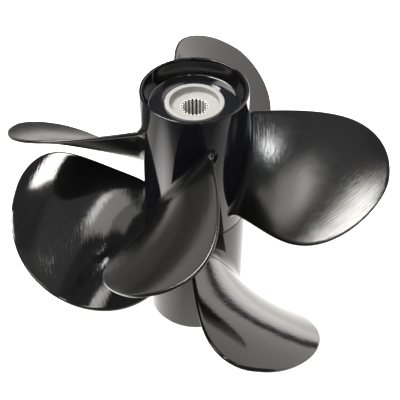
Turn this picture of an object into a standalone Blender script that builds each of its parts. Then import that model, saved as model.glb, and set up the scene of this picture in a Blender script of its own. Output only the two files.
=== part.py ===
"""Contra-rotating boat propeller set: a four-bladed and a three-bladed propeller stacked on one axis.

Metres, +Z up. The origin is the centre of the lower hub's end face, which stands on the floor.
The upper propeller turns about +Z on the lower one. Each propeller is cast in one piece with its
hub: here the barrel, inner hub, web and blades are solids of their own, a hair's breadth apart.
"""
from math import atan, cos, pi, radians, sin, sqrt

import bmesh
import bpy

# Hubs
HUB_RADIUS = 0.052
HUB_TOTAL = 0.2921
SEAM_HEIGHT = 0.1434
SEAM_GAP = 0.0005
JOINT_GAP = 0.0003
ROOT_GAP = 0.00045
RIM_WALL = 0.0029
RIM_EDGE = 0.0009
WALL_TOE_RADIUS = 0.0446
OPEN_END_RADIUS = 0.0462
MOUTH_DEPTH = 0.0163
WEB_THICKNESS = 0.009
INNER_HUB_WALL = 0.0055
INNER_HUB_SETBACK = 0.018
RING_SEGMENTS = 64

# Splined inserts, set in rubber bushes
INSERT_RISE = 0.0016
FLANGE_DEPTH = 0.012
SPLINE_DEPTH = 0.0016
BUSH_LIP = 0.0008
EDGE_BREAK = 0.0006

# Blades
BLADE_ROWS = 12
BLADE_COLUMNS = 13
FILLET_ROWS = 3
FILLET_CROWDING = 1.6
TIP_CROWDING = 1.7
ROOT_FILLET = 0.007
EDGE_HALF = 0.0018
EDGE_FULLNESS = 10
TIP_FULLNESS = 40
THINNING = 0.6
RELIEF_POWER = 24

SHARP_ANGLE = radians(35)


class Hub:
    """Radii and heights of one hub's inside; mouth_up tells which end has the recessed insert."""

    def __init__(self, low, high, mouth_up, flange, recess, recess_depth, body, bore, teeth):
        self.low = low
        self.high = high
        self.mouth_up = mouth_up
        self.flange = flange
        self.recess = recess
        self.recess_depth = recess_depth
        self.body = body
        self.bore = bore
        self.teeth = teeth
        self.bush = flange + 0.001
        self.inner = self.bush + JOINT_GAP
        self.outer = self.inner + INNER_HUB_WALL

    def place(self, depth):
        """Height of a level that lies this deep below the mouth's rim."""
        return self.high - depth if self.mouth_up else self.low + depth

    def length(self):
        return self.high - self.low


class Blades:
    """One propeller's blades: each list gives values at even steps from the root to the tip.

    camber is how far a section's middle sinks, as a share of the half chord; below 0 it rises. curl
    bends the section like an S: its high edge's half sinks and its low edge's half rises by this share.
    relief is the chord that the upper edge gives up at the root, so that it clears the other hub.
    """

    def __init__(self, count, hand, tip, angle, height, half_chord, pitch, fullness, half_thick, camber,
                 curl, relief):
        self.count = count
        self.hand = hand
        self.tip = tip
        self.angle = angle
        self.height = height
        self.half_chord = half_chord
        self.pitch = pitch
        self.fullness = fullness
        self.half_thick = half_thick
        self.camber = camber
        self.curl = curl
        self.relief = relief


UPPER_HUB = Hub(low=SEAM_HEIGHT + SEAM_GAP / 2, high=HUB_TOTAL, mouth_up=True, flange=0.0286,
                recess=0.0239, recess_depth=0.0062, body=0.0212, bore=0.013, teeth=20)
LOWER_HUB = Hub(low=0.0, high=SEAM_HEIGHT - SEAM_GAP / 2, mouth_up=False, flange=0.0332,
                recess=0.0286, recess_depth=0.0062, body=0.0270, bore=0.0205, teeth=26)

UPPER_BLADES = Blades(count=4, hand=1, tip=0.1919, angle=(-103.9, -104.9, -106.3, -102.6),
                      height=(0.2094, 0.2046, 0.2035, 0.2150), half_chord=(0.0523, 0.0650, 0.0746, 0.0656),
                      pitch=(0.508, 0.624, 0.551), fullness=(7.6, 2.75), half_thick=(0.0062, 0.0020),
                      camber=(0.022, 0.061, -0.019), curl=(0.0, 0.0, 0.0), relief=0.0)
LOWER_BLADES = Blades(count=3, hand=-1, tip=0.2054, angle=(179.4, 178.3, 174.3, 166.6),
                      height=(0.0908, 0.0912, 0.1063, 0.1188), half_chord=(0.0610, 0.0867, 0.1172, 0.1639),
                      pitch=(0.535, 0.641, 0.615), fullness=(1.366, 2.274), half_thick=(0.0066, 0.0021),
                      camber=(-0.047, -0.053, 0.002), curl=(-0.08, 0.01, -0.05), relief=0.013)


def clear_scene():
    for obj in list(bpy.data.objects):
        bpy.data.objects.remove(obj, do_unlink=True)


def material(name, colour, metallic, roughness):
    mat = bpy.data.materials.new(name)
    mat.use_nodes = True
    shader = mat.node_tree.nodes["Principled BSDF"]
    shader.inputs["Base Color"].default_value = (*colour, 1.0)
    shader.inputs["Metallic"].default_value = metallic
    shader.inputs["Roughness"].default_value = roughness
    return mat


def make_object(name, bm, mat, parent):
    bmesh.ops.recalc_face_normals(bm, faces=bm.faces)
    mesh = bpy.data.meshes.new(name)
    bm.to_mesh(mesh)
    bm.free()
    mesh.materials.append(mat)
    mesh.shade_smooth()
    mesh.set_sharp_from_angle(angle=SHARP_ANGLE)
    obj = bpy.data.objects.new(name, mesh)
    bpy.context.scene.collection.objects.link(obj)
    obj.parent = parent
    return obj


def ring_solid(name, profile, mat, parent, segments=RING_SEGMENTS, radius_at=None):
    """A turned ring from a closed profile of (radius, height); radius_at may shape it round the axis."""
    bm = bmesh.new()
    loops = []
    for radius, height in profile:
        loop = []
        for i in range(segments):
            angle = 2 * pi * i / segments
            r = radius_at(radius, i) if radius_at else radius
            loop.append(bm.verts.new((r * cos(angle), r * sin(angle), height)))
        loops.append(loop)
    for low, high in zip(loops, loops[1:] + loops[:1]):
        for i in range(segments):
            j = (i + 1) % segments
            bm.faces.new((low[i], low[j], high[j], high[i]))
    return make_object(name, bm, mat, parent)


def barrel(name, hub, mat, parent):
    """The hub's outer wall, tapering inward from the mouth's thin rim to the web."""
    far = hub.length()
    profile = [(HUB_RADIUS - RIM_EDGE, 0.0),
               (HUB_RADIUS - RIM_EDGE / 3, RIM_EDGE / 3),
               (HUB_RADIUS, RIM_EDGE),
               (HUB_RADIUS, far - RIM_EDGE),
               (HUB_RADIUS - RIM_EDGE, far),
               (OPEN_END_RADIUS + RIM_EDGE, far),
               (OPEN_END_RADIUS, far - RIM_EDGE),
               (WALL_TOE_RADIUS, MOUTH_DEPTH + WEB_THICKNESS),
               (WALL_TOE_RADIUS, MOUTH_DEPTH - JOINT_GAP),
               (HUB_RADIUS - RIM_WALL, RIM_EDGE),
               (HUB_RADIUS - RIM_WALL + RIM_EDGE / 2, 0.0)]
    return ring_solid(name, [(r, hub.place(d)) for r, d in profile], mat, parent)


def web(name, hub, mat, parent):
    """The flat ring that carries the inner hub inside the barrel."""
    inside = hub.outer + JOINT_GAP
    outside = WALL_TOE_RADIUS - JOINT_GAP
    near = MOUTH_DEPTH
    far = MOUTH_DEPTH + WEB_THICKNESS
    profile = [(inside, near), (outside, near), (outside, far), (inside, far)]
    return ring_solid(name, [(r, hub.place(d)) for r, d in profile], mat, parent)


def inner_hub(name, hub, mat, parent):
    """The tube round the rubber bush."""
    near = MOUTH_DEPTH
    far = hub.length() - INNER_HUB_SETBACK
    profile = [(hub.inner, near), (hub.outer, near), (hub.outer, far - EDGE_BREAK),
               (hub.outer - EDGE_BREAK, far), (hub.inner, far)]
    return ring_solid(name, [(r, hub.place(d)) for r, d in profile], mat, parent)


def flange_face(hub):
    """Depth of the insert's end face, which stands proud of the web."""
    return MOUTH_DEPTH - INSERT_RISE


def bush(name, hub, mat, parent):
    """The rubber between inner hub and insert, with a thin lip round the insert's flange."""
    near = MOUTH_DEPTH + EDGE_BREAK
    seat = flange_face(hub) + FLANGE_DEPTH + JOINT_GAP
    far = hub.length() - INNER_HUB_SETBACK - EDGE_BREAK
    profile = [(hub.body + JOINT_GAP, seat), (hub.bush - BUSH_LIP, seat), (hub.bush - BUSH_LIP, near),
               (hub.bush, near), (hub.bush, far), (hub.body + JOINT_GAP, far)]
    return ring_solid(name, [(r, hub.place(d)) for r, d in profile], mat, parent)


def splined_insert(name, hub, mat, parent):
    """The flanged sleeve with a recess in its face and a splined bore through it."""
    face = flange_face(hub)
    floor = face + hub.recess_depth
    under = face + FLANGE_DEPTH
    far = hub.length() - INNER_HUB_SETBACK - EDGE_BREAK
    steps = 4

    def radius_at(radius, i):
        tooth = i % steps in (0, 1)
        return radius - SPLINE_DEPTH if tooth and abs(radius - hub.bore) < EDGE_BREAK / 2 else radius

    profile = [(hub.bore, floor), (hub.recess, floor), (hub.recess, face), (hub.flange - EDGE_BREAK, face),
               (hub.flange, face + EDGE_BREAK), (hub.flange, under), (hub.body, under), (hub.body, far),
               (hub.bore, far)]
    return ring_solid(name, [(r, hub.place(d)) for r, d in profile], mat, parent,
                      segments=steps * hub.teeth, radius_at=radius_at)


def through(values, span):
    """The smooth curve through values at even steps, at span 0 (root) to 1 (tip)."""
    last = len(values) - 1
    total = 0.0
    for i, value in enumerate(values):
        for j in range(last + 1):
            if j != i:
                value *= (span * last - j) / (i - j)
        total += value
    return total


def root_flare(radius):
    """How far the quarter-round fillet at the hub widens a section at this radius."""
    away = min(max(radius - HUB_RADIUS - ROOT_GAP, 0.0) / ROOT_FILLET, 1.0)
    return ROOT_FILLET * (1 - sqrt(1 - (1 - away) ** 2))


def blade_point(blades, span, across, side):
    """A point of the blade at span 0..1, across -1..1 from its low to its high edge.

    side is 1 on the upper face, -1 on the lower face and 0 on the middle surface. Each section
    lies on a cylinder round the axis and follows the helix of the pitch there.
    """
    start = HUB_RADIUS + ROOT_GAP
    radius = start + span * (blades.tip - start)
    slope = atan(through(blades.pitch, span) / (2 * pi * radius))
    fullness = blades.fullness[0] if across > 0 else blades.fullness[1]
    taper = sqrt(max(1 - span ** fullness, 0.0))
    relief = blades.relief * (1 - span) ** RELIEF_POWER if across > 0 else 0.0
    flare = root_flare(radius)
    half = taper * through(blades.half_chord, span) - relief
    thick_root, thick_tip = blades.half_thick
    body = thick_root + (thick_tip - thick_root) * span ** THINNING + flare
    edge = EDGE_HALF + 0.5 * flare
    rounding = sqrt(1 - abs(across) ** EDGE_FULLNESS) * edge + (1 - across ** 2) * (body - edge)
    closing = sqrt(max(1 - span ** TIP_FULLNESS, 0.0))
    bend = (through(blades.camber, span) + through(blades.curl, span) * across) * (1 - across ** 2)
    bow = bend * through(blades.half_chord, span) * sqrt(1 - span ** 2)
    lift = side * rounding * closing - bow
    along = across * (half + flare)
    angle = radians(through(blades.angle, span))
    angle += blades.hand * (along * cos(slope) - lift * sin(slope)) / radius
    height = through(blades.height, span) + along * sin(slope) + lift * cos(slope)
    return radius * cos(angle), radius * sin(angle), height


def close_root(bm, ring, middle_points):
    """The root's end cap, split along its middle line so that its flat triangles stay off the barrel."""
    upper = ring[:BLADE_COLUMNS]
    lower = [ring[0]] + ring[:BLADE_COLUMNS - 1:-1] + [upper[-1]]
    middle = [upper[0]] + [bm.verts.new(point) for point in middle_points] + [upper[-1]]

    def turn_between(a, b):
        return (a.co.xy - b.co.xy).length

    for edge in (upper, lower):
        for a, b, c, d in zip(edge, edge[1:], middle[1:], middle):
            if a is d:
                bm.faces.new((a, b, c))
            elif b is c:
                bm.faces.new((a, b, d))
            elif turn_between(a, c) < turn_between(b, d):
                bm.faces.new((a, b, c))
                bm.faces.new((a, c, d))
            else:
                bm.faces.new((a, b, d))
                bm.faces.new((b, c, d))


def blade(name, blades, mat, parent, turn):
    """One blade: a closed grid over span and chord, capped on the hub and drawn to a point at the tip."""
    bm = bmesh.new()
    reach = ROOT_FILLET / (blades.tip - HUB_RADIUS)
    spans = [reach * (i / FILLET_ROWS) ** FILLET_CROWDING for i in range(FILLET_ROWS + 1)]
    free = BLADE_ROWS - len(spans)
    spans += [1 - (1 - reach) * (1 - i / (free + 1)) ** TIP_CROWDING for i in range(1, free + 1)]
    columns = [-cos(pi * i / (BLADE_COLUMNS - 1)) for i in range(BLADE_COLUMNS)]
    rows = []
    for span in spans:
        upper = [bm.verts.new(blade_point(blades, span, across, 1)) for across in columns]
        lower = [bm.verts.new(blade_point(blades, span, across, -1)) for across in columns[1:-1]]
        rows.append(upper + lower[::-1])
    count = len(rows[0])
    for inner, outer in zip(rows, rows[1:]):
        for i in range(count):
            j = (i + 1) % count
            bm.faces.new((inner[i], inner[j], outer[j], outer[i]))
    tip = bm.verts.new(blade_point(blades, 1.0, 0.0, 0))
    for i in range(count):
        bm.faces.new((rows[-1][i], rows[-1][(i + 1) % count], tip))
    close_root(bm, rows[0], [blade_point(blades, 0.0, across, 0) for across in columns[1:-1]])
    bmesh.ops.triangulate(bm, faces=bm.faces)
    obj = make_object(name, bm, mat, parent)
    obj.rotation_euler.z = turn
    return obj


def propeller(prefix, hub, blades, paint, rubber, metal, parent):
    barrel(prefix + "_hub_barrel", hub, paint, parent)
    web(prefix + "_hub_web", hub, paint, parent)
    inner_hub(prefix + "_inner_hub", hub, paint, parent)
    bush(prefix + "_rubber_bush", hub, rubber, parent)
    splined_insert(prefix + "_splined_insert", hub, metal, parent)
    for i in range(blades.count):
        blade(f"{prefix}_blade_{i + 1}", blades, paint, parent, 2 * pi * i / blades.count)


def main():
    clear_scene()
    paint = material("black_gloss_paint", (0.012, 0.012, 0.014), 0.0, 0.12)
    rubber = material("black_rubber", (0.01, 0.01, 0.01), 0.0, 0.6)
    metal = material("sintered_metal", (0.62, 0.60, 0.56), 0.6, 0.55)
    axis = bpy.data.objects.new("upper_propeller_axis", None)
    axis.location = (0.0, 0.0, 0.0)
    bpy.context.scene.collection.objects.link(axis)
    propeller("lower", LOWER_HUB, LOWER_BLADES, paint, rubber, metal, None)
    propeller("upper", UPPER_HUB, UPPER_BLADES, paint, rubber, metal, axis)


main()
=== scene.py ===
"""Looks of a contra-rotating propeller set: black castings, bare splined inserts, pale studio floor."""
from math import cos, pi, radians, sin, tan

import bpy
import numpy as np
from mathutils import Matrix, Vector


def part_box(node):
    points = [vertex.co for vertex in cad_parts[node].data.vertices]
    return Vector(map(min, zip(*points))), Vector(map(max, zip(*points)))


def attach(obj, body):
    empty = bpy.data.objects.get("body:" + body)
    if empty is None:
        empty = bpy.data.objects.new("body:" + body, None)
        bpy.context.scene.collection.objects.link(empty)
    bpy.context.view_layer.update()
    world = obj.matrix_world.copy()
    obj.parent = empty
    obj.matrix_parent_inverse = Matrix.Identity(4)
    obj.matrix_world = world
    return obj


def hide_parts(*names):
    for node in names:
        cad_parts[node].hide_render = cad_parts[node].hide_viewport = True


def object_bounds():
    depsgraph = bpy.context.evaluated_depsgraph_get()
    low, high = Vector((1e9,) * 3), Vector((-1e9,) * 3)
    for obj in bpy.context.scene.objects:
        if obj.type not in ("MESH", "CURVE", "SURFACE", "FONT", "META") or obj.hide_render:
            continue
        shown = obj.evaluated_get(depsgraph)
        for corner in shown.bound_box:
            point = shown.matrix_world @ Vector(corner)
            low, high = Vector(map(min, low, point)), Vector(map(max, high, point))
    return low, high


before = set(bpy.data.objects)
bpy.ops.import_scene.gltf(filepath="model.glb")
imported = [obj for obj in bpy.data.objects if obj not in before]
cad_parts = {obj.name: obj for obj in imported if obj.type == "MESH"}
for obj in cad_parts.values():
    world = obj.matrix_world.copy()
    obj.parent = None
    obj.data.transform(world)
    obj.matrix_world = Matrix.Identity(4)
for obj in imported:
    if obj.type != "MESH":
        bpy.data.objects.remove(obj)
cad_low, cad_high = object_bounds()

# The hubs, read from the frame; all lengths are in metres
HUB_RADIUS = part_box("upper_hub_barrel")[1].x
TOP = cad_high.z
SEAM_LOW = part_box("lower_hub_barrel")[1].z
SEAM_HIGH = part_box("upper_hub_barrel")[0].z

# The turned casting; depths count from its mouth, the end where the insert's flange lies
RIM_WALL = 0.0029
RIM_EDGE = 0.0009
MOUTH_EDGE = 0.8 * RIM_EDGE
TUBE_EDGE = RIM_EDGE / 2
BORE_EDGE = RIM_EDGE / 3
WALL_TOE_RADIUS = 0.0446
OPEN_END_RADIUS = 0.0462
MOUTH_DEPTH = 0.0163
WEB_THICKNESS = 0.009
TOE_FILLET = 0.0016
HUB_SEGMENTS = 288
HUB_SHARP = 40.0

# Splined inserts, each with a recess in its flange
UPPER_INSERT = dict(flange=0.0286, recess=0.0239, recess_depth=0.0062, sleeve=0.0212, bore=0.013, teeth=20)
LOWER_INSERT = dict(flange=0.0332, recess=0.0286, recess_depth=0.0062, sleeve=0.0270, bore=0.0205, teeth=26)
INSERT_RISE = 0.0016
INSERT_EDGE = 0.0005
INSERT_SHARP = 35.0
FLANGE_DEPTH = 0.012
CHAMFER_WIDTH = 0.0012
CHAMFER_DEPTH = 0.0003

# Splines: their depth, the steepness of their sides and the shift that widens the lands
SPLINE_DEPTH = 0.0016
SPLINE_STEEPNESS = 2.6
SPLINE_SHIFT = 0.05
SPLINE_SEGMENTS = 16
SAME_RADIUS = 1e-5

# Rubber bushes: gaps to the metal, and how far they end short of the web's face and the tube's end
BUSH_GAP = 0.0002
SEAT_GAP = 0.0003
CASTING_GAP = 0.00002
LIP_DROP = 0.0012
BUSH_DROP = 0.0006
END_DROP = 0.0006
BUSH_SEGMENTS = 160

# Blades: values at even steps from the root to the tip, as in the part's source
UPPER_BLADES = dict(count=4, hand=1, tip=0.1919, angle=(-103.9, -104.9, -106.3, -102.6),
                    height=(0.2094, 0.2046, 0.2035, 0.2150), half_chord=(0.0523, 0.0650, 0.0746, 0.0656),
                    pitch=(0.508, 0.624, 0.551), fullness=(7.6, 2.75), half_thick=(0.0062, 0.0020),
                    camber=(0.022, 0.061, -0.019), curl=(0.0, 0.0, 0.0), relief=0.0, mark_sweep=1.1)
LOWER_BLADES = dict(count=3, hand=-1, tip=0.2054, angle=(179.4, 178.3, 174.3, 166.6),
                    height=(0.0908, 0.0912, 0.1063, 0.1188), half_chord=(0.0610, 0.0867, 0.1172, 0.1639),
                    pitch=(0.535, 0.641, 0.615), fullness=(1.366, 2.274), half_thick=(0.0066, 0.0021),
                    camber=(-0.047, -0.053, 0.002), curl=(-0.08, 0.01, -0.05), relief=0.013,
                    mark_sweep=0.0)
ROOT_FILLET = 0.007
ROOT_SINK = 0.00003
EDGE_HALF = 0.0018
EDGE_ROUND = 0.0032
THINNING = 0.6
RELIEF_POWER = 24
SPAN_ROWS = 84
FILLET_ROWS = 12
CHORD_COLUMNS = 61
TIP_CROWDING = 1.8
BLADE_SHARP = 60.0

# Radii between which the tool marks turn to their slant, which is mark_sweep
MARKS_BEND_FROM = 0.08
MARKS_BEND_TO = 0.14

# Noise cells per metre along and across the tool marks, and per radian of a blade's turn
STREAK_CELLS = (70.0, 500.0, 7.0)
HAIR_CELLS = (110.0, 1100.0, 3.0)

# Noise cells per metre along X, Y and Z in the hubs' paint
WAVE_CELLS = (60.0, 60.0, 9.0)

# Dust: cells per metre, the fading edge of a speck in parts of a cell, and the share without one
DUST_CELLS = 90.0
DUST_EDGE = (0.035, 0.02)
DUST_FREE = 0.93

# Tones of the surfaces
SPECK = (0.5, 0.5, 0.48, 1.0)
HUB_BLACK = (0.0035, 0.0035, 0.0045, 1.0)
BLADE_DARK = (0.0032, 0.0032, 0.00328, 1.0)
BLADE_PALE = (0.0048, 0.00472, 0.00456, 1.0)
METAL_GRAIN = (0.23, 0.226, 0.219, 1.0)
METAL_DARK = (0.30, 0.295, 0.286, 1.0)
METAL_PALE = (0.35, 0.345, 0.335, 1.0)
# Painted light on the splines' lands and painted shade down in their slots
LAND_PAINTED_LIGHT = (0.72, 0.71, 0.68, 1.0)
SLOT_PAINTED_SHADE = (0.07, 0.068, 0.065, 1.0)
RUBBER_DARK = (0.006, 0.006, 0.006, 1.0)
RUBBER_PALE = (0.02, 0.02, 0.02, 1.0)
PAINT_IOR = 1.5

# The camera, solved from the hub's rims: angles in degrees, focal length in pixels of the photograph
PHOTO_SIDE = 400
CAMERA_PLACE = (0.0, -0.66994, 0.78811)
CAMERA_PITCH = 43.690
CAMERA_YAW = 0.420
CAMERA_ROLL = -0.210
FOCAL_PIXELS = 883.6
SENSOR = 36.0
CLIP_START = 0.01
CLIP_END = 50.0

# Lights
LIGHT_DISTANCE = 4.0
WARM = (1.0, 0.975, 0.93)
COOL = (0.86, 0.93, 1.0)
WHITE = (1.0, 1.0, 1.0)
# Name, azimuth (0 is +Y, 90 is +X), elevation, width and height in degrees, radiance, colour
SOFT_BOXES = [
    ("left_box", -66, 64, 29, 23, 29, WARM),
    ("left_front_strip", -155, 56.6, 18, 3.6, 9, WARM),
    ("left_front_panel", -153, 50.5, 32, 14, 4.2, WARM),
    ("left_front_foot", -149, 37, 26, 13, 2.0, WARM),
    ("front_box", 167, 38.5, 5.0, 5.0, 62, WHITE),
    ("top_front", 172, 66, 48, 28, 0.3, WHITE),
    ("right_front_box", 143, 29.6, 10, 6.3, 9, WARM),
    ("right_wall", 90, 2, 14, 12, 4.5, COOL),
    ("right_back_wall", 50, 31, 64, 57, 2.1, WARM),
    ("left_back_wall", -37, 14, 56, 30, 1.25, WARM),
    ("back_lamp", -6.3, 47.2, 2.2, 2.6, 13, WHITE),
]
SKY_TONE = (0.9, 0.95, 1.0, 1.0)
SKY_STRENGTH = 0.2

# The floor, whose mirrored strength is painted light seen only in reflections; a fade gives two places and
# the strength of the mirrored floor at each
FLOOR_REACH = 6.0
FLOOR_DROP = 0.0003
FLOOR_TONE = (0.85, 0.85, 0.85, 1.0)
FLOOR_GLOW_TONE = (1.0, 1.0, 1.0, 1.0)
FLOOR_GLOW = 0.75
MIRROR_TONE = (1.0, 0.985, 0.95, 1.0)
NEAR_FADE = (0.8, 1.25, 1.1, 0.12)
BEHIND_FADE = (1.9, 2.3, 2.4, 0.2)
BEHIND_SIDES = (0.0, 0.25)
FRONT_FADE = (-0.40, -0.18, 0.15, 1.0)

# Painted pools of light on the mirrored floor: centre x and y, turn in degrees, long and short radius
LEFT_POOL = (-0.25, -0.11, 37.0, 0.24, 0.14)
LEFT_POOL_FADE = (1.1, 0.0, 0.0, 4.0)
RIGHT_POOL = (0.15, -0.04, 0.0, 0.24, 0.22)
RIGHT_POOL_FADE = (1.0, 0.3, 0.0, 1.0)


def smooth_object(name, verts, faces, sharp):
    """A smooth shaded mesh, with its edges sharp where they turn by more than this many degrees."""
    mesh = bpy.data.meshes.new(name)
    mesh.from_pydata([tuple(v) for v in verts], [], faces)
    mesh.validate()
    mesh.shade_smooth()
    mesh.set_sharp_from_angle(angle=radians(sharp))
    obj = bpy.data.objects.new(name, mesh)
    bpy.context.scene.collection.objects.link(obj)
    return obj


def arc(centre, radius, start, end, steps):
    """Points of a circular arc round a centre (radius, height), with its angles in degrees."""
    turns = np.radians(np.linspace(start, end, steps))
    return [(centre[0] + radius * cos(t), centre[1] + radius * sin(t)) for t in turns]


def turned(name, profile, segments=HUB_SEGMENTS, radius_at=None, sharp=HUB_SHARP):
    """A closed ring turned about the axis from a closed profile of (radius, height)."""
    profile = np.array(profile)
    after = np.roll(profile, -1, axis=0)
    area = np.sum(profile[:, 0] * after[:, 1] - after[:, 0] * profile[:, 1])
    if area < 0:
        profile = profile[::-1]
    turns = 2 * pi * np.arange(segments) / segments
    verts = []
    for radius, height in profile:
        r = radius_at(radius, turns) if radius_at else np.full(segments, radius)
        verts.append(np.stack([r * np.cos(turns), r * np.sin(turns), np.full(segments, height)], -1))
    index = np.arange(len(profile) * segments).reshape(-1, segments)
    above = np.roll(index, -1, axis=0)
    faces = np.stack([index, np.roll(index, -1, axis=1), np.roll(above, -1, axis=1), above], -1)
    return smooth_object(name, np.concatenate(verts), faces.reshape(-1, 4).tolist(), sharp)


def through(values, span):
    """The smooth curve through values at even steps, at span 0 (root) to 1 (tip)."""
    last = len(values) - 1
    total = 0.0
    for i, value in enumerate(values):
        for j in range(last + 1):
            if j != i:
                value = value * (span * last - j) / (i - j)
        total = total + value
    return total


def blade_points(blades, span, across, side):
    """Points on the blade's upper face (side 1), lower face (-1) or between them (0)."""
    start = HUB_RADIUS - ROOT_SINK
    radius = start + span * (blades["tip"] - start)
    slope = np.arctan(through(blades["pitch"], span) / (2 * pi * radius))
    fullness = np.where(across > 0, blades["fullness"][0], blades["fullness"][1])
    taper = np.sqrt(np.clip(1 - np.maximum(span, 1e-9) ** fullness, 0, 1))
    away = np.clip((radius - start) / ROOT_FILLET, 0, 1)
    flare = ROOT_FILLET * (1 - np.sqrt(1 - (1 - away) ** 2))
    relief = np.where(across > 0, blades["relief"] * (1 - span) ** RELIEF_POWER, 0.0)
    half = taper * through(blades["half_chord"], span) - relief
    wide = half + flare
    edge = EDGE_HALF + flare
    thick_root, thick_tip = blades["half_thick"]
    body = np.maximum(thick_root + (thick_tip - thick_root) * span ** THINNING + flare, edge)
    inset = np.clip(wide * (1 - np.abs(across)) / (EDGE_ROUND + flare), 0, 1)
    from_tip = np.clip((1 - span) * (blades["tip"] - start) / EDGE_ROUND, 0, 1)
    closing = np.sqrt(1 - (1 - from_tip) ** 2)
    rounding = edge * np.sqrt(1 - (1 - inset) ** 2) + (1 - across ** 2) * (body - edge)
    bend = (through(blades["camber"], span) + through(blades["curl"], span) * across) * (1 - across ** 2)
    bow = bend * through(blades["half_chord"], span) * np.sqrt(1 - span ** 2)
    lift = side * rounding * closing - bow
    along = across * wide
    angle = np.radians(through(blades["angle"], span))
    angle = angle + blades["hand"] * (along * np.cos(slope) - lift * np.sin(slope)) / radius
    height = through(blades["height"], span) + along * np.sin(slope) + lift * np.cos(slope)
    return np.stack([radius * np.cos(angle), radius * np.sin(angle), height], -1), along, radius


def blade_grid(blades):
    """Spans by places across the chord, with the rows closer together at the fillet and the tip."""
    reach = ROOT_FILLET / (blades["tip"] - HUB_RADIUS)
    inner = reach * (1 - np.cos(pi / 2 * np.linspace(0, 1, FILLET_ROWS)))
    rest = np.linspace(0, 1, SPAN_ROWS)[1:]
    outer = reach + (1 - reach) * (1 - (1 - rest) ** TIP_CROWDING)
    spans = np.concatenate([inner, outer[:-1]])
    columns = -np.cos(pi * np.linspace(0, 1, CHORD_COLUMNS))
    return np.meshgrid(spans, columns, indexing="ij")


def blade_faces(rows, count, hand):
    """Quads from row to row, triangles that close the tip and one face across the sunk root."""
    index = np.arange(rows * count).reshape(rows, count)
    shifted = np.roll(index, -1, axis=1)
    quads = np.stack([index[:-1], shifted[:-1], shifted[1:], index[1:]], -1).reshape(-1, 4)
    tip = rows * count
    faces = quads.tolist()
    faces += [[a, b, tip] for a, b in zip(index[-1].tolist(), shifted[-1].tolist())]
    faces.append(index[0, ::-1].tolist())
    if hand > 0:
        faces = [face[::-1] for face in faces]
    return faces


def mark_flow(blade, blades, along, radius, turn):
    """Gives each point its places along and across the tool marks, and the blade's own turn."""
    bend = np.clip((radius - MARKS_BEND_FROM) / (MARKS_BEND_TO - MARKS_BEND_FROM), 0, 1)
    across = radius - blades["mark_sweep"] * bend * along
    flow = blade.data.attributes.new("flow", "FLOAT_VECTOR", "POINT")
    values = np.stack([along, across, np.full(len(along), turn)], -1)
    flow.data.foreach_set("vector", values.astype(np.float32).ravel())


def blade_object(name, blades, turn):
    """A fine blade with its fillet running out onto the hub, where its root is sunk in the casting."""
    span, across = blade_grid(blades)
    top, top_along, top_radius = blade_points(blades, span, across, 1)
    low, low_along, low_radius = blade_points(blades, span[:, 1:-1], across[:, 1:-1], -1)
    tip, tip_along, tip_radius = blade_points(blades, np.array([1.0]), np.array([0.0]), 0)
    ring = np.concatenate([top, low[:, ::-1]], axis=1)
    along = np.append(np.concatenate([top_along, low_along[:, ::-1]], axis=1).ravel(), tip_along)
    radius = np.append(np.concatenate([top_radius, low_radius[:, ::-1]], axis=1).ravel(), tip_radius)
    rows, count = ring.shape[:2]
    x, y, z = np.concatenate([ring.reshape(-1, 3), tip]).T
    verts = np.stack([x * cos(turn) - y * sin(turn), x * sin(turn) + y * cos(turn), z], -1)
    blade = smooth_object(name, verts, blade_faces(rows, count, blades["hand"]), BLADE_SHARP)
    mark_flow(blade, blades, along, radius, turn)
    return blade


class Nodes:
    """A new material and short calls that add its shader nodes and links."""

    def __init__(self, name):
        self.material = bpy.data.materials.new(name)
        self.material.use_nodes = True
        self.tree = self.material.node_tree
        self.shader = self.tree.nodes["Principled BSDF"]

    def add(self, kind, inputs=(), **settings):
        node = self.tree.nodes.new(kind)
        for key, value in settings.items():
            setattr(node, key, value)
        for key, value in dict(inputs).items():
            self.feed(node.inputs[key], value)
        return node

    def feed(self, socket, value):
        if isinstance(value, bpy.types.NodeSocket):
            self.tree.links.new(value, socket)
        else:
            socket.default_value = value

    def set(self, **inputs):
        for key, value in inputs.items():
            self.feed(self.shader.inputs[key.replace("_", " ")], value)

    def noise(self, vector, scale, detail=2.0, roughness=0.5):
        node = self.add("ShaderNodeTexNoise", {"Vector": vector, "Scale": scale, "Detail": detail,
                                               "Roughness": roughness})
        return node.outputs["Fac"]

    def ramp(self, value, low, high, out_low=0.0, out_high=1.0):
        node = self.add("ShaderNodeMapRange", {"Value": value, "From Min": low, "From Max": high,
                                               "To Min": out_low, "To Max": out_high})
        return node.outputs["Result"]

    def math(self, operation, a, b=0.0):
        node = self.add("ShaderNodeMath", {0: a, 1: b}, operation=operation)
        return node.outputs["Value"]

    def vector_math(self, operation, inputs, output="Vector"):
        node = self.add("ShaderNodeVectorMath", dict(enumerate(inputs)), operation=operation)
        return node.outputs[output]

    def mix(self, factor, a, b):
        node = self.add("ShaderNodeMix", data_type="RGBA")
        self.feed(node.inputs["Factor"], factor)
        self.feed(node.inputs[6], a)
        self.feed(node.inputs[7], b)
        return node.outputs[2]

    def bump(self, height, strength, distance, normal=None):
        node = self.add("ShaderNodeBump", {"Height": height, "Strength": strength, "Distance": distance})
        if normal:
            self.feed(node.inputs["Normal"], normal)
        return node.outputs["Normal"]

    def attribute(self, name, output):
        return self.add("ShaderNodeAttribute", attribute_name=name).outputs[output]

    def place(self):
        return self.add("ShaderNodeTexCoord").outputs["Object"]


def dust(n, place):
    """Sparse specks of dust, each under a millimetre across."""
    cells = n.add("ShaderNodeTexVoronoi", {"Vector": place, "Scale": DUST_CELLS, "Randomness": 1.0})
    near = n.ramp(cells.outputs["Distance"], *DUST_EDGE)
    pick = n.add("ShaderNodeSeparateColor", {"Color": cells.outputs["Color"]}).outputs["Red"]
    return n.math("MULTIPLY", near, n.math("GREATER_THAN", pick, DUST_FREE))


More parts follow.
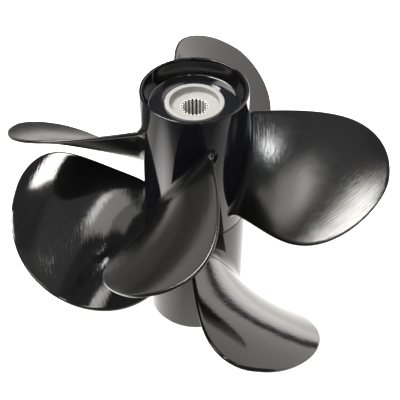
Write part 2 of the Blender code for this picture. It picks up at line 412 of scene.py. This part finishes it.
def blade_paint(name, gloss, streak, haze):
    """Black paint over ground metal: tool marks, strongest beside the fillet, grain and a slow ripple."""
    n = Nodes(name)
    place = n.place()
    flow = n.attribute("flow", "Vector")
    streaks = n.noise(n.vector_math("MULTIPLY", [flow, STREAK_CELLS]), 1.0, 2.0, 0.6)
    hairs = n.noise(n.vector_math("MULTIPLY", [flow, HAIR_CELLS]), 1.0, 2.0, 0.5)
    ripple = n.noise(place, 55.0, 1.0)
    grain = n.noise(place, 1100.0, 2.0)
    radius = n.add("ShaderNodeSeparateXYZ", {"Vector": flow}).outputs["Y"]
    marks = n.ramp(radius, HUB_RADIUS + ROOT_FILLET, HUB_RADIUS + 2 * ROOT_FILLET, 1.0, streak)
    normal = n.bump(ripple, 0.15, 0.0006)
    normal = n.bump(streaks, marks, 0.00012, normal)
    normal = n.bump(hairs, streak, 0.00005, normal)
    normal = n.bump(grain, haze, 0.00003, normal)
    rough = n.ramp(streaks, 0.3, 0.7, gloss, gloss + 0.04)
    base = n.mix(n.ramp(grain, 0.35, 0.65), BLADE_DARK, BLADE_PALE)
    n.set(Base_Color=n.mix(dust(n, place), base, SPECK), Roughness=rough, Normal=normal, IOR=PAINT_IOR)
    return n.material


def hub_paint():
    """The smooth gloss black of the turned hub: a faint lengthwise waviness and a few specks."""
    n = Nodes("hub_gloss_black")
    place = n.place()
    wave = n.noise(n.vector_math("MULTIPLY", [place, WAVE_CELLS]), 1.0, 2.0)
    peel = n.noise(place, 420.0, 1.0)
    normal = n.bump(wave, 0.3, 0.0003)
    normal = n.bump(peel, 0.08, 0.00004, normal)
    rough = n.ramp(wave, 0.3, 0.7, 0.05, 0.09)
    base = n.mix(dust(n, place), HUB_BLACK, SPECK)
    n.set(Base_Color=base, Roughness=rough, Normal=normal, IOR=PAINT_IOR)
    return n.material


def insert_metal():
    """Fine grained bare sintered metal, with painted light on the splines' lands and painted shade down in
    their slots.
    """
    n = Nodes("sintered_metal")
    place = n.place()
    grain = n.noise(place, 1500.0, 4.0, 0.7)
    mottle = n.noise(place, 240.0, 3.0)
    pits = n.add("ShaderNodeTexVoronoi", {"Vector": place, "Scale": 420.0}).outputs["Distance"]
    tone = n.mix(n.ramp(mottle, 0.3, 0.7), METAL_DARK, METAL_PALE)
    tone = n.mix(n.ramp(grain, 0.35, 0.65), METAL_GRAIN, tone)
    slot = n.attribute("slot_depth", "Fac")
    # Painted light on the lands and painted shade down in the slots, by how deep a point lies
    tone = n.mix(n.ramp(slot, -0.4, -0.1), tone, LAND_PAINTED_LIGHT)
    tone = n.mix(n.ramp(slot, 0.25, 0.6), tone, SLOT_PAINTED_SHADE)
    normal = n.bump(grain, 0.5, 0.00006)
    normal = n.bump(n.ramp(pits, 0.10, 0.2), 0.3, 0.00005, normal)
    rough = n.ramp(grain, 0.3, 0.7, 0.5, 0.68)
    n.set(Base_Color=tone, Roughness=rough, Metallic=0.2, Normal=normal)
    return n.material


def bush_rubber():
    """Matt black rubber with a fine grain."""
    n = Nodes("bush_rubber")
    grain = n.noise(n.place(), 900.0, 3.0)
    tone = n.mix(grain, RUBBER_DARK, RUBBER_PALE)
    n.set(Base_Color=tone, Roughness=0.6, Normal=n.bump(grain, 0.4, 0.0001))
    return n.material


def dress(obj, material, slot, body, *nodes):
    """Gives a piece its material, and puts it on its body in place of its CAD nodes; its slot argument is
    not used.
    """
    obj.data.materials.append(material)
    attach(obj, body)
    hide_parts(*nodes)


class Hub:
    """One propeller's hub: its ends from the frame, and mouth_up for which end has the mouth."""

    def __init__(self, prefix, low, high, mouth_up):
        self.prefix = prefix
        self.body = prefix + "_propeller"
        self.low = low
        self.high = high
        self.mouth_up = mouth_up
        tube_low, tube_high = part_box(prefix + "_inner_hub")
        self.tube_radius = tube_high.x
        self.bush_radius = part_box(prefix + "_rubber_bush")[1].x
        setback = tube_low.z - low if mouth_up else high - tube_high.z
        self.length = high - low
        self.tube_end = self.length - setback

    def placed(self, points):
        """Points (radius, depth from the mouth) as (radius, height)."""
        if self.mouth_up:
            return [(r, self.high - depth) for r, depth in points]
        return [(r, self.low + depth) for r, depth in points]


def casting_profile(hub):
    """Barrel, web and the tube round the bush as one closed profile with rounded edges."""
    far = hub.length
    edge = RIM_EDGE
    toe = WALL_TOE_RADIUS - TOE_FILLET
    bore = hub.bush_radius + CASTING_GAP
    web_far = MOUTH_DEPTH + WEB_THICKNESS + TOE_FILLET
    points = arc((HUB_RADIUS - edge, edge), edge, -90, 0, 7)
    points += arc((HUB_RADIUS - edge, far - edge), edge, 0, 90, 7)
    points += arc((OPEN_END_RADIUS + edge, far - edge), edge, 90, 180, 7)
    points += arc((toe, web_far), TOE_FILLET, 0, -90, 7)
    points += arc((hub.tube_radius + TOE_FILLET, web_far), TOE_FILLET, -90, -180, 7)
    points += arc((hub.tube_radius - TUBE_EDGE, hub.tube_end - TUBE_EDGE), TUBE_EDGE, 0, 90, 5)
    points += [(bore, hub.tube_end), (bore, MOUTH_DEPTH + BORE_EDGE)]
    points += arc((bore + BORE_EDGE, MOUTH_DEPTH + BORE_EDGE), BORE_EDGE, 180, 270, 4)
    points += arc((toe, MOUTH_DEPTH - TOE_FILLET), TOE_FILLET, 90, 0, 9)
    points += arc((HUB_RADIUS - RIM_WALL + MOUTH_EDGE, MOUTH_EDGE), MOUTH_EDGE, 180, 270, 6)
    return hub.placed(points)


def rubber_profile(hub, insert):
    """The bush between tube and sleeve, with a thin lip round the insert's flange."""
    inner = insert["sleeve"] + BUSH_GAP
    lip = insert["flange"] + BUSH_GAP
    outer = hub.bush_radius
    seat = MOUTH_DEPTH - INSERT_RISE + FLANGE_DEPTH + SEAT_GAP
    end = hub.tube_end - END_DROP
    points = [(inner, seat), (lip, seat), (lip, MOUTH_DEPTH + LIP_DROP)]
    points += [(outer, MOUTH_DEPTH + BUSH_DROP), (outer, end), (inner, end)]
    return hub.placed(points)


def insert_profile(hub, insert):
    """The flanged sleeve, with a recess in its face and a chamfer at the splined bore."""
    bore, recess, flange, sleeve = insert["bore"], insert["recess"], insert["flange"], insert["sleeve"]
    face = MOUTH_DEPTH - INSERT_RISE
    floor = face + insert["recess_depth"]
    under = face + FLANGE_DEPTH
    end = hub.tube_end - END_DROP
    edge = INSERT_EDGE
    points = [(bore, floor + CHAMFER_DEPTH), (bore + CHAMFER_WIDTH, floor)]
    points += arc((recess - edge, floor - edge), edge, 90, 0, 4)
    points += arc((recess + edge, face + edge), edge, 180, 270, 5)
    points += arc((flange - edge, face + edge), edge, 270, 360, 5)
    points += [(flange, under), (sleeve, under), (sleeve, end), (bore, end)]
    return hub.placed(points)


def spline_radius(insert):
    """Square shouldered splines: slots at the bore's radius and lands standing inward from it."""
    def radius_at(radius, turns):
        if abs(radius - insert["bore"]) > SAME_RADIUS:
            return np.full(len(turns), radius)
        wave = np.cos(turns * insert["teeth"]) + SPLINE_SHIFT
        return radius - SPLINE_DEPTH * np.clip(0.5 + SPLINE_STEEPNESS * wave, 0, 1)
    return radius_at


def mark_slots(metal, bore):
    """Marks how deep each point of the bore lies in a slot, for the painted light and shade of the splines:
    0 on a land, 1 in a slot, -1 elsewhere.
    """
    places = np.array([v.co[:2] for v in metal.data.vertices])
    radius = np.hypot(places[:, 0], places[:, 1])
    depth = np.clip((radius - bore) / SPLINE_DEPTH + 1, 0, 1)
    mark = metal.data.attributes.new("slot_depth", "FLOAT", "POINT")
    mark.data.foreach_set("value", np.where(radius < bore + SAME_RADIUS, depth, -1.0).astype(np.float32))


def build_propeller(hub, blades, insert, paints):
    """One propeller: the turned casting, its blades, the rubber bush and the splined insert."""
    prefix, body = hub.prefix, hub.body
    casting = turned(prefix + "_hub_casting", casting_profile(hub))
    dress(casting, paints["hub"], "black_paint", body, prefix + "_hub_barrel", prefix + "_hub_web",
          prefix + "_inner_hub")
    for i in range(blades["count"]):
        blade = blade_object(f"{prefix}_blade_skin_{i + 1}", blades, 2 * pi * i / blades["count"])
        dress(blade, paints[prefix], "black_paint", body, f"{prefix}_blade_{i + 1}")
    rubber = turned(prefix + "_bush_rubber", rubber_profile(hub, insert), BUSH_SEGMENTS)
    dress(rubber, paints["rubber"], "bush_rubber", body, prefix + "_rubber_bush")
    metal = turned(prefix + "_insert_metal", insert_profile(hub, insert),
                   insert["teeth"] * SPLINE_SEGMENTS, spline_radius(insert), INSERT_SHARP)
    mark_slots(metal, insert["bore"])
    dress(metal, paints["metal"], "insert_metal", body, prefix + "_splined_insert")


def area_light(name, azimuth, elevation, wide, high, radiance, colour):
    """A soft box as the object sees it, at LIGHT_DISTANCE from the seam between the hubs."""
    a, e = radians(azimuth), radians(elevation)
    away = Vector((sin(a) * cos(e), cos(a) * cos(e), sin(e)))
    data = bpy.data.lights.new(name, "AREA")
    data.shape = "RECTANGLE"
    data.size = 2 * LIGHT_DISTANCE * tan(radians(wide / 2))
    data.size_y = 2 * LIGHT_DISTANCE * tan(radians(high / 2))
    data.energy = radiance * pi * data.size * data.size_y
    data.color = colour
    light = bpy.data.objects.new(name, data)
    light.location = Vector((0.0, 0.0, SEAM_HIGH)) + away * LIGHT_DISTANCE
    light.rotation_euler = away.to_track_quat("Z", "Y").to_euler()
    light.visible_camera = False
    bpy.context.scene.collection.objects.link(light)


def pool_distance(n, place, pool):
    """Distance from the pool's centre, 1 at the edge of its ellipse."""
    x, y, turn, long_radius, short_radius = pool
    c, s = cos(radians(turn)), sin(radians(turn))
    away = n.vector_math("SUBTRACT", [place, (x, y, 0.0)])
    u = n.vector_math("DOT_PRODUCT", [away, (c / long_radius, s / long_radius, 0.0)], "Value")
    v = n.vector_math("DOT_PRODUCT", [away, (-s / short_radius, c / short_radius, 0.0)], "Value")
    return n.math("SQRT", n.math("ADD", n.math("MULTIPLY", u, u), n.math("MULTIPLY", v, v)))


def mirrored_strength(n):
    """The floor's painted light in reflections: painted pools of light, painted shade in front, and painted
    light behind on the right.
    """
    place = n.place()
    xyz = n.add("ShaderNodeSeparateXYZ", {"Vector": place})
    x, y = xyz.outputs["X"], xyz.outputs["Y"]
    distance = n.vector_math("LENGTH", [place], "Value")
    corner = n.math("MULTIPLY", n.ramp(x, *BEHIND_SIDES), n.ramp(y, *BEHIND_SIDES))
    behind = n.math("MULTIPLY", corner, n.ramp(distance, *BEHIND_FADE))
    strength = n.math("ADD", n.ramp(distance, *NEAR_FADE), behind)
    strength = n.math("MULTIPLY", strength, n.ramp(y, *FRONT_FADE))
    for pool, fade in ((LEFT_POOL, LEFT_POOL_FADE), (RIGHT_POOL, RIGHT_POOL_FADE)):
        strength = n.math("ADD", strength, n.ramp(pool_distance(n, place, pool), *fade))
    return strength


def floor_material():
    """Plain and pale where it is seen, with painted light of its own, an emission, where the paint mirrors
    it.
    """
    n = Nodes("pale_floor")
    mirrored = n.add("ShaderNodeEmission", {"Color": MIRROR_TONE, "Strength": mirrored_strength(n)})
    glow = n.add("ShaderNodeEmission", {"Color": FLOOR_GLOW_TONE, "Strength": FLOOR_GLOW})
    matt = n.add("ShaderNodeBsdfDiffuse", {"Color": FLOOR_TONE})
    seen = n.add("ShaderNodeAddShader", {0: glow.outputs[0], 1: matt.outputs[0]})
    glossy = n.add("ShaderNodeLightPath").outputs["Is Glossy Ray"]
    choice = n.add("ShaderNodeMixShader", {0: glossy, 1: seen.outputs[0], 2: mirrored.outputs[0]})
    n.feed(n.tree.nodes["Material Output"].inputs["Surface"], choice.outputs[0])
    n.tree.nodes.remove(n.shader)
    return n.material


def make_floor():
    """One large square just under the lower hub."""
    side = FLOOR_REACH
    mesh = bpy.data.meshes.new("floor")
    corners = [(-side, -side, 0), (side, -side, 0), (side, side, 0), (-side, side, 0)]
    mesh.from_pydata(corners, [], [(0, 1, 2, 3)])
    mesh.materials.append(floor_material())
    floor = bpy.data.objects.new("floor", mesh)
    floor.location.z = -FLOOR_DROP
    bpy.context.scene.collection.objects.link(floor)


def make_lights():
    """A dim sky and the soft boxes."""
    world = bpy.data.worlds.new("studio")
    bpy.context.scene.world = world
    world.use_nodes = True
    background = world.node_tree.nodes["Background"]
    background.inputs["Color"].default_value = SKY_TONE
    background.inputs["Strength"].default_value = SKY_STRENGTH
    for soft_box in SOFT_BOXES:
        area_light(*soft_box)


def make_camera():
    """The photograph's camera, from its place, its three angles and its focal length."""
    data = bpy.data.cameras.new("camera")
    data.sensor_width = SENSOR
    data.lens = SENSOR * FOCAL_PIXELS / PHOTO_SIDE
    data.clip_start = CLIP_START
    data.clip_end = CLIP_END
    camera = bpy.data.objects.new("camera", data)
    pitch, yaw, roll = radians(CAMERA_PITCH), radians(CAMERA_YAW), radians(CAMERA_ROLL)
    forward = Vector((sin(yaw) * cos(pitch), cos(yaw) * cos(pitch), -sin(pitch)))
    level = forward.cross(Vector((0, 0, 1))).normalized()
    upright = level.cross(forward)
    right = level * cos(roll) + upright * sin(roll)
    up = upright * cos(roll) - level * sin(roll)
    turn = Matrix((right, up, -forward)).transposed().to_4x4()
    camera.matrix_world = Matrix.Translation(CAMERA_PLACE) @ turn
    bpy.context.scene.collection.objects.link(camera)
    bpy.context.scene.camera = camera


make_camera()
make_floor()
make_lights()
paints = {
    "hub": hub_paint(),
    "metal": insert_metal(),
    "rubber": bush_rubber(),
    "upper": blade_paint("satin_black", gloss=0.15, streak=0.75, haze=0.8),
    "lower": blade_paint("gloss_black", gloss=0.06, streak=0.55, haze=0.15),
}
build_propeller(Hub("upper", SEAM_HIGH, TOP, mouth_up=True), UPPER_BLADES, UPPER_INSERT, paints)
build_propeller(Hub("lower", 0.0, SEAM_LOW, mouth_up=False), LOWER_BLADES, LOWER_INSERT, paints)
bpy.context.scene.view_settings.view_transform = "Standard"
